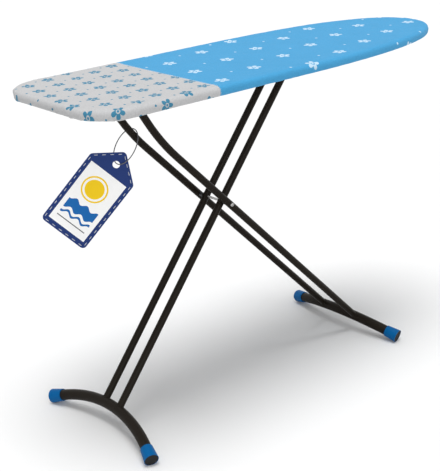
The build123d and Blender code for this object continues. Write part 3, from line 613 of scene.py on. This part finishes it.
# %% Draw the cover tight
settle_frames, cache_frames, most_movement = 18, 24, 0.0035
before = np.array([v.co[:] for v in cover.data.vertices])
held = cover.vertex_groups.new(name="hem")
held.add(list(range(count)), 1.0, "REPLACE")
solver = cover.modifiers.new("cloth", "CLOTH")
for setting, value in (
    ("quality", 8), ("mass", 0.2), ("tension_stiffness", 18.0),
    ("compression_stiffness", 18.0), ("shear_stiffness", 6.0), ("bending_stiffness", 0.35),
    ("vertex_group_mass", "hem"), ("pin_stiffness", 1.0), ("shrink_min", 0.012),
):
    setattr(solver.settings, setting, value)
solver.settings.effector_weights.gravity = 0.4
solver.collision_settings.collision_quality = 4
solver.collision_settings.distance_min = 0.0008
solver.point_cache.frame_start = 1
solver.point_cache.frame_end = cache_frames
for step in range(1, settle_frames + 1):
    scene.frame_set(step)
settled = cover.evaluated_get(bpy.context.evaluated_depsgraph_get())
moved = np.array([v.co[:] for v in settled.data.vertices]) - before
far = np.linalg.norm(moved, axis=1)
print("cloth moved, mm: middle", round(float(np.median(far)) * 1000, 2),
      "most", round(float(far.max()) * 1000, 2))
moved *= np.minimum(1.0, most_movement / np.maximum(far, 1e-9))[:, None]
cover.modifiers.remove(solver)
cover.vertex_groups.clear()
scene.frame_set(1)
for vertex, place in zip(cover.data.vertices, before + moved):
    vertex.co = place
cover.data.update()
bpy.data.objects.remove(form)
hem_edge = np.array([cover.data.vertices[i].co[:] for i in range(count)])
heights = [v.co.z for v in cover.data.vertices]
print("cover from", round(min(heights), 4), "to", round(max(heights), 4), "m high")

# %% [markdown]
# Thickness comes last. The cloth gets its second face on the inside, so the outside stays
# as the solver left it.

# %% Give the cloth its thickness
def baked(piece):
    """Applies a piece's modifiers by keeping the evaluated mesh."""
    evaluated = piece.evaluated_get(bpy.context.evaluated_depsgraph_get())
    mesh = bpy.data.meshes.new_from_object(evaluated)
    piece.modifiers.clear()
    piece.data = mesh
    mesh.name = piece.name
    return piece


def walled(piece, thickness):
    """Gives a sheet its thickness on the inside and bakes it."""
    wall = piece.modifiers.new("wall", "SOLIDIFY")
    wall.thickness = thickness
    wall.offset = -1.0
    return baked(piece)


walled(cover, 0.0011)
print("cover triangles", triangle_count(cover))

# %% [markdown]
# The square end of the cover is pale grey and the rest is sky blue, two cloths joined by
# a seam. Both are printed with a small made-up blossom and a dot between the blossoms.
# One shader group draws them from plain geometry and repeats them in half-drop rows: the
# petals are a circle whose radius rises and falls five times round. The print reads where
# each point lies on the flat cloth, so it isn't dragged at the edge.

# %% A shader group for the printed blossom
blossom, given, out = group_tree(
    "blossom_print", ("Mask",), Row_pitch=0.10, Column_pitch=0.10, Reach=0.020, Dot_radius=0.003)
row_turn, petal_floor, petal_wave, petal_start, heart_size = 0.9, 0.42, 0.58, 0.30, 0.17


def cell_place(shift):
    """Where a point lies in its cell of the half-drop field, its distance, and its row."""
    along, across, _ = split(blossom, given["Position"])
    row = plus(blossom, calc(blossom, "DIVIDE", along, given["Row pitch"]), shift)
    odd_row = calc(blossom, "FLOORED_MODULO", calc(blossom, "FLOOR", row), 2.0)
    half_drop = times(blossom, odd_row, 0.5)
    column = plus(blossom, calc(blossom, "DIVIDE", across, given["Column pitch"]), half_drop)
    sides = []
    for value, pitch in ((row, "Row pitch"), (column, "Column pitch")):
        centred = calc(blossom, "SUBTRACT", calc(blossom, "FRACT", value), 0.5)
        sides.append(times(blossom, centred, given[pitch]))
    squares = [times(blossom, side, side) for side in sides]
    return (*sides, calc(blossom, "SQRT", plus(blossom, *squares)), row)


def of_reach(share):
    """The blossom's reach times a share, which is a number or a socket."""
    return times(blossom, given["Reach"], share)


along, across, far, row = cell_place(0.0)
turned = times(blossom, calc(blossom, "FLOOR", row), row_turn)
angle = plus(blossom, calc(blossom, "ARCTAN2", across, along), turned)
five_waves = calc(blossom, "ABSOLUTE", calc(blossom, "COSINE", times(blossom, angle, 2.5)))
petal_share = plus(blossom, petal_floor, times(blossom, five_waves, petal_wave))
under_tip = calc(blossom, "LESS_THAN", far, of_reach(petal_share))
petals = times(blossom, under_tip, calc(blossom, "GREATER_THAN", far, of_reach(petal_start)))
heart = calc(blossom, "LESS_THAN", far, of_reach(heart_size))
dots = calc(blossom, "LESS_THAN", cell_place(0.5)[2], given["Dot radius"])
printed = calc(blossom, "MAXIMUM", calc(blossom, "MAXIMUM", petals, heart), dots)
blossom.links.new(printed, out["Mask"])
print("shader group", blossom.name)

# %% The cover's two colours and their print
seam_x, field_turn = -0.278, 0.15
sky_blue, pale_ink = (0.052, 0.305, 0.565), (0.50, 0.67, 0.80)
pale_grey, deep_ink = (0.470, 0.473, 0.480), (0.022, 0.185, 0.310)
cloth, tree, shader = new_material(
    "cover_fabric", Roughness=0.86, Sheen_Weight=0.06, Sheen_Roughness=0.5, Specular_IOR_Level=0.25)
place = wired(tree, "ShaderNodeAttribute", {"attribute_name": "flat_cloth"})["Vector"]
ink = plus(tree, 0.80, times(tree, noise(tree, place, 2200.0, 1.0), 0.30))


def printed_cloth(ground, ink_colour, shift, **sizes):
    """A ground colour with blossoms, laid out in its own turned and shifted field."""
    field = wired(tree, "ShaderNodeMapping", Vector=place, Location=shift, Rotation=(0, 0, field_turn))
    mask = placed(tree, blossom, field[0], **sizes)["Mask"]
    return mix_colour(tree, times(tree, mask, ink), ground, ink_colour)


blue_part = printed_cloth(sky_blue, pale_ink, (0.02, 0.01, 0), Row_pitch=0.126,
                          Column_pitch=0.120, Reach=0.0180, Dot_radius=0.0033)
grey_part = printed_cloth(pale_grey, deep_ink, (0.0, 0.03, 0), Row_pitch=0.060,
                          Column_pitch=0.060, Reach=0.0158, Dot_radius=0.0026)
cloth_x, _, _ = split(tree, place)
is_blue = calc(tree, "GREATER_THAN", cloth_x, seam_x)
printed = mix_colour(tree, is_blue, grey_part, blue_part)

# %% The cover's weave, wear and seam
def shaded(tree, shader, colour, shade):
    """Makes a shader's colour lighter and darker by a shade round one."""
    scaled = vector_calc(tree, "SCALE", colour)
    feed(tree, shade, scaled.inputs["Scale"])
    tree.links.new(scaled.outputs[0], shader.inputs["Base Color"])


threads = placed(tree, weave, place, Threads=5200.0, Slub=0.22)
patches = placed(tree, uneven, place, Fine_scale=260.0, Broad_scale=14.0)
wear = plus(tree, 0.90, times(tree, patches["Tone"], 0.20))
shaded(tree, shader, printed, times(tree, threads["Shade"], wear))
groove_reach, groove_depth, thread_depth, wrinkle_depth = 0.0022, 0.0009, 0.00010, 0.0022
from_seam = calc(tree, "ABSOLUTE", calc(tree, "SUBTRACT", cloth_x, seam_x))
groove = ranged(tree, from_seam, (0.0, 1.0), (0.0, groove_reach), "SMOOTHSTEP")
wrinkle = times(tree, noise(tree, place, 24.0, 3.0), wrinkle_depth)
large = plus(tree, times(tree, groove, groove_depth), wrinkle)
height = plus(tree, times(tree, threads["Height"], thread_depth), large)
relief(tree, shader, height, 1.0, 0.8)
paint(cover, cloth)
print("cover print changes colour at x, m", seam_x)

# %% [markdown]
# A folded tape is sewn over the cover's raw edge, and its cord gathers the hem. The tape
# follows the edge where the solver left it, as a closed band with a rounded section.

# %% The binding tape
tape_section = (
    (0.0040, 0.0010), (0.0010, 0.0014), (-0.0022, 0.0013), (-0.0034, 0.0008), (-0.0038, 0.0),
    (-0.0034, -0.0009), (-0.0020, -0.0013), (0.0010, -0.0014), (0.0040, -0.0011), (0.0046, 0.0),
)
tape_crimps, crimp_share, tape_drop, tape_flatness = 210, 0.10, 0.0004, 0.8
tape_points = []
for out_of_edge, rise in tape_section:
    for i in range(count):
        crimp = 1.0 + crimp_share * math.sin(2 * math.pi * tape_crimps * edge_run[i] / edge_run[-1])
        centre = Vector(hem_edge[i]) + Vector((edge_out[i][0], edge_out[i][1], 0)) * out_of_edge
        tape_points.append(centre + Vector((0, 0, rise * crimp * tape_flatness - tape_drop)))
tape = mesh_piece("binding_band", tape_points, ring_quads(len(tape_section), closed=True))
outward(tape)
tape.data.materials.append(finish_material(
    "binding_tape", (0.20, 0.42, 0.62), (0.15, 0.34, 0.52), 0.85, 0.04, fine=700.0, broad=80.0, bump=0.0003))
tape_heights = [p.z for p in tape_points]
print("tape from", round(min(tape_heights), 4), "to", round(max(tape_heights), 4))

# %% [markdown]
# The deck is thin steel sheet, punched all over so that steam can leave. Geometry Nodes
# sets one six-sided tile with a round hole on every point of a triangular lattice and
# merges them into a sheet; a plain border carries it to the rim.

# %% One tile and the places for it
deck_low, deck_high = (Vector(p).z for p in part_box("deck_panel"))
hole_pitch, hole_radius, hole_corners, tiles_inset = 0.018, 0.0042, 18, 0.030


def punched_tile(pitch, radius):
    """A flat six-sided tile with a round hole, as an object that isn't linked."""
    outer, hole = [], []
    for i in range(hole_corners):
        turn = 2 * math.pi * i / hole_corners
        part = (turn + math.pi / 6) % (math.pi / 3) - math.pi / 6
        far = pitch / 2 / math.cos(part)
        outer.append((far * math.cos(turn), far * math.sin(turn), 0))
        hole.append((radius * math.cos(turn), radius * math.sin(turn), 0))
    faces = []
    for i in range(hole_corners):
        after = (i + 1) % hole_corners
        faces.append((i, hole_corners + i, hole_corners + after, after))
    mesh = bpy.data.meshes.new("tile")
    mesh.from_pydata(hole + outer, [], faces)
    return bpy.data.objects.new("tile", mesh)


tile = punched_tile(hole_pitch, hole_radius)
tile_places = [(x, y, 0) for x, y in lattice(inset(tiles_inset), hole_pitch, math.sqrt(3) / 2)]
print("holes in the deck", len(tile_places))

# %% A Geometry Nodes tree that sets a shape on points
def instance_tree(name):
    """Sets a named shape on every point, turned to the point's own direction."""
    group = bpy.data.node_groups.new(name, "GeometryNodeTree")
    group.is_modifier = True
    for socket, kind, way in (
        ("Points", "NodeSocketGeometry", "INPUT"),
        ("Shape", "NodeSocketObject", "INPUT"),
        ("Size jitter", "NodeSocketFloat", "INPUT"),
        ("Join within", "NodeSocketFloat", "INPUT"),
        ("Material", "NodeSocketMaterial", "INPUT"),
        ("Result", "NodeSocketGeometry", "OUTPUT"),
    ):
        group.interface.new_socket(socket, in_out=way, socket_type=kind)
    given, out = group.nodes.new("NodeGroupInput").outputs, group.nodes.new("NodeGroupOutput").inputs
    way, lay = (
        wired(group, "GeometryNodeInputNamedAttribute", {"data_type": "FLOAT_VECTOR"}, Name=label)[0]
        for label in ("way", "lay")
    )
    turn = wired(group, "FunctionNodeAlignRotationToVector", {"axis": "X"}, Vector=way)[0]
    turn = wired(group, "FunctionNodeAlignRotationToVector", {"axis": "Z", "pivot_axis": "X"},
                 Vector=lay, Rotation=turn)[0]
    least = calc(group, "SUBTRACT", 1.0, given["Size jitter"])
    size = wired(group, "FunctionNodeRandomValue", {"data_type": "FLOAT"}, Min=least, Max=1.0, Seed=11)
    shape = wired(group, "GeometryNodeObjectInfo", Object=given["Shape"])["Geometry"]
    copies = wired(group, "GeometryNodeInstanceOnPoints", Points=given["Points"], Instance=shape,
                   Rotation=turn, Scale=size["Value"])[0]
    real = wired(group, "GeometryNodeRealizeInstances", Geometry=copies)[0]
    merged = wired(group, "GeometryNodeMergeByDistance", Geometry=real, Distance=given["Join within"])[0]
    coated = wired(group, "GeometryNodeSetMaterial", Geometry=merged, Material=given["Material"])[0]
    group.links.new(coated, out["Result"])
    return group


set_on_points = instance_tree("set_on_points")
print("geometry tree", set_on_points.name, "nodes", len(set_on_points.nodes))


def scattered(name, shape, places, ways, lays, material, jitter=0.0, join=0.0):
    """A mesh piece of copies of a shape, one at each place, as one plain mesh."""
    points = bpy.data.meshes.new(name + "_points")
    points.from_pydata([tuple(p) for p in places], [], [])
    for label, values in (("way", ways), ("lay", lays)):
        layer = points.attributes.new(label, "FLOAT_VECTOR", "POINT")
        layer.data.foreach_set("vector", [c for v in values for c in v])
    piece = bpy.data.objects.new(name, points)
    scene.collection.objects.link(piece)
    if shape.name not in scene.collection.objects:
        scene.collection.objects.link(shape)
    modifier = piece.modifiers.new("copies", "NODES")
    modifier.node_group = set_on_points
    sockets = {item.name: item.identifier for item in set_on_points.interface.items_tree
               if item.in_out == "INPUT"}
    modifier[sockets["Shape"]] = shape
    modifier[sockets["Size jitter"]] = jitter
    modifier[sockets["Join within"]] = join
    modifier[sockets["Material"]] = material
    return baked(piece)


# %% The punched deck and its border
sheet_sink, sheet_wall, border_outer, border_inner = 0.00015, 0.0009, 0.0022, 0.036
deck = scattered(
    "punched_deck", tile, tile_places, [(1, 0, 0)] * len(tile_places),
    [(0, 0, 1)] * len(tile_places), finishes["deck_enamel"], join=0.0002,
)
bpy.data.objects.remove(tile)
for vertex in deck.data.vertices:
    vertex.co.z += deck_high - sheet_sink
walled(deck, sheet_wall)
border_steps = (
    (border_outer, deck_low), (border_outer, deck_high), (border_inner, deck_high), (border_inner, deck_low))
border = mesh_piece("deck_border", *ring_form(border_steps, closed=True), False)
outward(border)
border.data.materials.append(finishes["deck_enamel"])
print("deck triangles", triangle_count(deck), "border", triangle_count(border))

# %% [markdown]
# Sewing shows as short raised stitches. The same tree that made the deck sets one stitch
# on each of many points, laid along the seam and flat to the cloth. The points are found
# on the finished cloth by casting rays at it, so the stitches sit on its real surface.

# %% A stitch, and even places along a line
def thread_shape(name, length, radius):
    """A short thread along X that dips in at both ends, as an object that isn't linked."""
    sides = 6
    rows = ((-0.5, -0.9, 0.45), (-0.36, -0.1, 0.9), (0.0, 0.35, 1.0), (0.36, -0.1, 0.9), (0.5, -0.9, 0.45))
    turns = [2 * math.pi * k / sides for k in range(sides)]
    points = [
        (share * length, radius * fat * math.cos(turn), radius * (rise + fat * math.sin(turn)))
        for share, rise, fat in rows for turn in turns
    ]
    faces = [
        (r * sides + k, (r + 1) * sides + k, (r + 1) * sides + (k + 1) % sides, r * sides + (k + 1) % sides)
        for r in range(len(rows) - 1) for k in range(sides)
    ]
    faces += [tuple(range(sides)), tuple(reversed(range(len(points) - sides, len(points))))]
    mesh = bpy.data.meshes.new(name)
    mesh.from_pydata(points, [], faces)
    mesh.shade_smooth()
    shape = bpy.data.objects.new(name, mesh)
    outward(shape)
    return shape


def stepped(points, normals, pitch, closed=False):
    """Places at an even pitch along a line of points, with directions and normals."""
    line = np.array(points + points[:1] if closed else points)
    lays = np.array(normals + normals[:1] if closed else normals)
    run = np.concatenate([[0], np.cumsum(np.linalg.norm(np.diff(line, axis=0), axis=1))])
    steps = max(2, round(run[-1] / pitch))
    places, ways, ups = [], [], []
    for k in range(steps):
        at = run[-1] * (k + 0.5) / steps
        i = min(int(np.searchsorted(run, at)) - 1, len(line) - 2)
        part = (at - run[i]) / (run[i + 1] - run[i])
        places.append(line[i] * (1 - part) + line[i + 1] * part)
        ways.append((line[i + 1] - line[i]) / (run[i + 1] - run[i]))
        ups.append(lays[i])
    return places, ways, ups


def joined(lines):
    """Several lines' places, directions and normals as one set of lists."""
    return [[item for part in parts for item in part] for parts in zip(*lines)]


def hits(surface, rays):
    """Where rays meet a surface, and its normals there."""
    line, lays = [], []
    for start, way in rays:
        hit, normal, *_ = surface.ray_cast(Vector(start), Vector(way))
        if hit:
            line.append(hit[:])
            lays.append(normal[:])
    return line, lays


# %% The stitches of the seam and the tape
stitch_fat, seam_pitch, tape_pitch, stitch_jitter = 0.00034, 0.0034, 0.0040, 0.12
seam_gap, tape_stitch_out, tape_stitch_drop = 0.0026, 0.0022, 0.0014
ray_start, ray_roof = 0.30, 0.95
side_heights = np.linspace(cover_low + 0.003, cover_high - 0.004, 12)
top_places = np.linspace(-half_width + 0.005, half_width - 0.005, 60)
surface = BVHTree.FromObject(cover, bpy.context.evaluated_depsgraph_get())
seam_lines = []
for shift in (-seam_gap, seam_gap):
    x = seam_x + shift
    rays = [((x, -ray_start, z), (0, 1, 0)) for z in side_heights]
    rays += [((x, y, ray_roof), (0, 0, -1)) for y in top_places]
    rays += [((x, ray_start, z), (0, -1, 0)) for z in side_heights[::-1]]
    seam_lines.append(stepped(*hits(surface, rays), seam_pitch))
seam = joined(seam_lines)
thread = finish_material(
    "thread", (0.80, 0.82, 0.84), (0.62, 0.66, 0.70), 0.75, 0.05, fine=2600.0, bump=0.0002)
short_stitch = thread_shape("short_stitch", 0.0026, stitch_fat)
seam_stitches = scattered("seam_stitches", short_stitch, *seam, thread, stitch_jitter)
tape_line = [(*(hem_edge[i][:2] + edge_out[i] * tape_stitch_out), hem_edge[i][2] - tape_stitch_drop)
             for i in range(count)]
tape_sewing = stepped(tape_line, [(0, 0, -1)] * count, tape_pitch, True)
tape_stitches = scattered("tape_stitches", short_stitch, *tape_sewing, thread, stitch_jitter)
bpy.data.objects.remove(short_stitch)
print("stitches in the seam", len(seam[0]), "in the tape", len(tape_sewing[0]))

# %% [markdown]
# Each leg tube is welded to its foot tube. The bead follows the line where the two tubes
# meet: rays cast down the leg tube's own surface find that line on the foot tube, and the
# tree sets overlapping ripples along it.

# %% Weld beads
leg_radius, bead_pitch, bead_rays, cast_from = 0.009, 0.0017, 40, 0.35
toe_share, ray_gap = 0.7, 0.0003
ripple_mesh = bpy.data.meshes.new("ripple")
ripple = bpy.data.objects.new("ripple", ripple_mesh)
work = bmesh.new()
bmesh.ops.create_uvsphere(work, u_segments=10, v_segments=6, radius=1.0)
bmesh.ops.scale(work, vec=(0.0015, 0.0027, 0.0014), verts=work.verts)
work.to_mesh(ripple_mesh)
work.free()
ripple_mesh.shade_smooth()
crossing = sum((Vector(p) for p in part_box("cross_rod")), Vector()) / 2


def leg_axis(body, hand):
    """Where a leg tube passes the crossing, and its direction down to the foot."""
    low, high = (Vector(p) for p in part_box(f"{body}_leg_tube_{hand}"))
    tube_y = (low.y + high.y) / 2
    toe_x = high.x if body == "outer" else low.x
    start = Vector((crossing.x, tube_y, crossing.z))
    inward = math.copysign(leg_radius * toe_share, toe_x - start.x)
    toe = Vector((toe_x - inward, tube_y, low.z + leg_radius * toe_share))
    return start, (toe - start).normalized()


def weld_line(foot, start, down):
    """The line where a leg tube's surface meets its foot tube, and how the bead lies on it."""
    first = Vector((0, 1, 0))
    second = down.cross(first).normalized()
    line, lays = [], []
    for k in range(bead_rays):
        turn = 2 * math.pi * k / bead_rays
        radial = first * math.cos(turn) + second * math.sin(turn)
        hit, normal, *_ = foot.ray_cast(start + radial * (leg_radius + ray_gap) + down * cast_from, down)
        if hit:
            line.append(hit[:])
            lays.append((radial + normal).normalized()[:])
    return line, lays


beads = {}
for body in ("outer", "inner"):
    foot = BVHTree.FromObject(frame["nodes"][f"{body}_foot_tube"], bpy.context.evaluated_depsgraph_get())
    weld = joined(
        stepped(*weld_line(foot, *leg_axis(body, hand)), bead_pitch, True) for hand in ("left", "right"))
    beads[body] = scattered(f"{body}_weld_beads", ripple, *weld, finishes["black_enamel"], 0.18)
    print(body, "weld ripples", len(weld[0]))
bpy.data.objects.remove(ripple)

# %% [markdown]
# The tag hangs at its own angle. Its width and height directions come from how it is
# turned, leant and tilted, and its middle from its own mesh, so the print and the
# stitches are laid out in the tag's plane. The print is a made-up sun over waves.

# %% The tag's own directions
tag_turn, tag_lean, tag_tilt = map(math.radians, (-39.6, 8.0, 41.0))
tag_level = Vector((math.cos(tag_turn), math.sin(tag_turn), 0))
tag_face = Vector((
    math.sin(tag_turn) * math.cos(tag_lean), -math.cos(tag_turn) * math.cos(tag_lean), math.sin(tag_lean)
))
tag_rise = tag_face.cross(tag_level)
tag_wide = tag_level * math.cos(tag_tilt) - tag_rise * math.sin(tag_tilt)
tag_tall = tag_face.cross(tag_wide)
card = frame["nodes"]["tag_card"]
spans = [[v.co @ way for v in card.data.vertices] for way in (tag_wide, tag_tall, tag_face)]
lows, highs = [min(span) for span in spans], [max(span) for span in spans]
tag_middle, tag_foot, tag_depth = (lows[0] + highs[0]) / 2, lows[1], (lows[2] + highs[2]) / 2
tag_half, tag_side, tag_roof = (highs[0] - lows[0]) / 2, 0.198, 0.0543
print("tag half width", round(tag_half, 4), "height", round(highs[1] - tag_foot, 4))


def on_tag(wide, tall, out_of_face):
    """A point given in the tag's own directions, from the middle of its foot."""
    return (tag_wide * (tag_middle + wide) + tag_tall * (tag_foot + tall)
            + tag_face * (tag_depth + out_of_face))


# %% The tag's print
border_blue, panel_white = (0.012, 0.036, 0.165), (0.97, 0.97, 0.96)
wave_blue, sun_yellow, rule_grey = (0.006, 0.130, 0.420), (0.90, 0.60, 0.008), (0.10, 0.10, 0.11)
panel_half, panel_low, panel_high, print_half = 0.0515, 0.0148, 0.1855, 0.040
wave_rate, wave_swing = 210.0, 0.0042
sun_aside, sun_height, sun_radius, halo_inner, halo_outer = 0.004, 0.134, 0.024, 0.029, 0.033
card_print, tree, shader = new_material("printed_card", Specular_IOR_Level=0.18)
place = wired(tree, "ShaderNodeTexCoord")["Object"]


def measured(way, start):
    """How far a point lies along a direction, from a start."""
    dot = vector_calc(tree, "DOT_PRODUCT", place, tuple(way))
    return calc(tree, "SUBTRACT", dot.outputs["Value"], start)


def within(value, low, high):
    """1 where a value lies between two bounds."""
    return times(tree, calc(tree, "GREATER_THAN", value, low), calc(tree, "LESS_THAN", value, high))


wide, tall = measured(tag_wide, tag_middle), measured(tag_tall, tag_foot)
front = calc(tree, "GREATER_THAN", measured(tag_face, tag_depth), 0.0)
panel = times(tree, within(wide, -panel_half, panel_half), within(tall, panel_low, panel_high))
print_width = within(wide, -print_half, print_half)
wave = times(tree, calc(tree, "SINE", times(tree, wide, wave_rate)), wave_swing)
over_wave = calc(tree, "SUBTRACT", tall, wave)
waves = calc(tree, "MAXIMUM", within(over_wave, 0.061, 0.087), within(over_wave, 0.047, 0.053))
waves = times(tree, waves, print_width)
sun_wide, sun_tall = plus(tree, wide, sun_aside), calc(tree, "SUBTRACT", tall, sun_height)
sun_far = calc(tree, "SQRT", plus(tree, times(tree, sun_wide, sun_wide), times(tree, sun_tall, sun_tall)))
halo = within(sun_far, halo_inner, halo_outer)
sun = calc(tree, "MAXIMUM", calc(tree, "LESS_THAN", sun_far, sun_radius), halo)
rule = times(tree, print_width, within(tall, 0.032, 0.0345))
colour = border_blue
for mask, ink_colour in ((panel, panel_white), (waves, wave_blue), (sun, sun_yellow), (rule, rule_grey)):
    colour = mix_colour(tree, times(tree, mask, front), colour, ink_colour)
patches = placed(tree, uneven, place, Fine_scale=1500.0, Broad_scale=40.0)
shaded(tree, shader, colour, plus(tree, 0.94, times(tree, patches["Tone"], 0.12)))
tree.links.new(ranged(tree, patches["Tone"], (0.38, 0.56)), shader.inputs["Roughness"])
relief(tree, shader, patches["Height"], 0.00005)
paint(card, card_print)
print("tag print, m wide and high", 2 * panel_half, round(panel_high - panel_low, 4))

# %% Stitches round the tag
stitch_inset, stitch_out, long_pitch, corner_share = 0.0050, 0.00085, 0.0195, 0.75
roof_way = Vector((-tag_half, tag_roof)).normalized()
drop = stitch_inset * (1 - roof_way.y) / -roof_way.x * corner_share
corners = [
    (-tag_half + stitch_inset, stitch_inset), (tag_half - stitch_inset, stitch_inset),
    (tag_half - stitch_inset, tag_side - drop),
    (0.0, tag_side + tag_roof - stitch_inset / -roof_way.x),
    (-tag_half + stitch_inset, tag_side - drop),
]
tag_lines = []
for side in (1, -1):
    for start, end in zip(corners, corners[1:] + corners[:1]):
        ends = [on_tag(*corner, side * stitch_out)[:] for corner in (start, end)]
        tag_lines.append(stepped(ends, [(tag_face * side)[:]] * 2, long_pitch))
tag_sewing = joined(tag_lines)
long_stitch = thread_shape("long_stitch", 0.0105, 0.00075)
tag_stitches = scattered("tag_stitches", long_stitch, *tag_sewing, thread, 0.10)
bpy.data.objects.remove(long_stitch)
print("stitches on the tag", len(tag_sewing[0]))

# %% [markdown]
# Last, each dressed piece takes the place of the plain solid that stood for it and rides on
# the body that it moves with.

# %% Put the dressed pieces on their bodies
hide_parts("felt_pad")
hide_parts("cover")
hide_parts("hem_binding")
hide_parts("deck_panel")
dressed = (
    (felt, "board", "felt"), (cover, "board", "cover_fabric"), (tape, "board", "binding_tape"),
    (deck, "board", "deck_enamel"), (border, "board", "deck_enamel"),
    (seam_stitches, "board", "cover_fabric"), (tape_stitches, "board", "binding_tape"),
    (beads["outer"], "outer_leg", "black_enamel"), (beads["inner"], "inner_leg", "black_enamel"),
    (tag_stitches, "hang_tag", "printed_card"),
)
for piece, body, slot in dressed:
    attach(piece, body)
print("dressed pieces", len(dressed))

# %% Close the file
before, after = cad_box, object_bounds()
